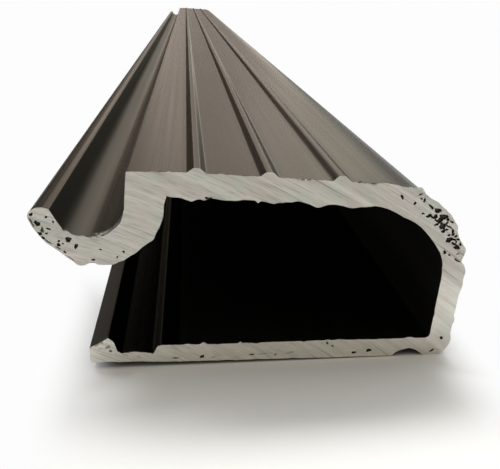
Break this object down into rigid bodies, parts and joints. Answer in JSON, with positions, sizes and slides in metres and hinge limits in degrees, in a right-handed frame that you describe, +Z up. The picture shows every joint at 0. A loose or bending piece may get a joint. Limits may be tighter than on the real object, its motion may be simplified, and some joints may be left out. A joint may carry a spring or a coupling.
{
  "type": "threshold extension bar",
  "caption": "Long extruded aluminium door-threshold extension with a ribbed sloping tread, bullnose front, open hook and channelled flange, sawn square at both ends.",
  "frame": {"origin": "middle of the bar's length and width, on the underside of the flange", "axes": "+Y along the bar, +X towards the bullnose front, +Z up to the ribbed tread"},
  "size_m": [0.038, 0.9144, 0.0175],
  "materials": {
    "bronze_anodised_aluminium": "dark bronze anodised skin, raw sawn ends"
  },
  "bodies": {
    "root": {"extruded_bar": "bronze_anodised_aluminium"}
  },
  "joints": []
}
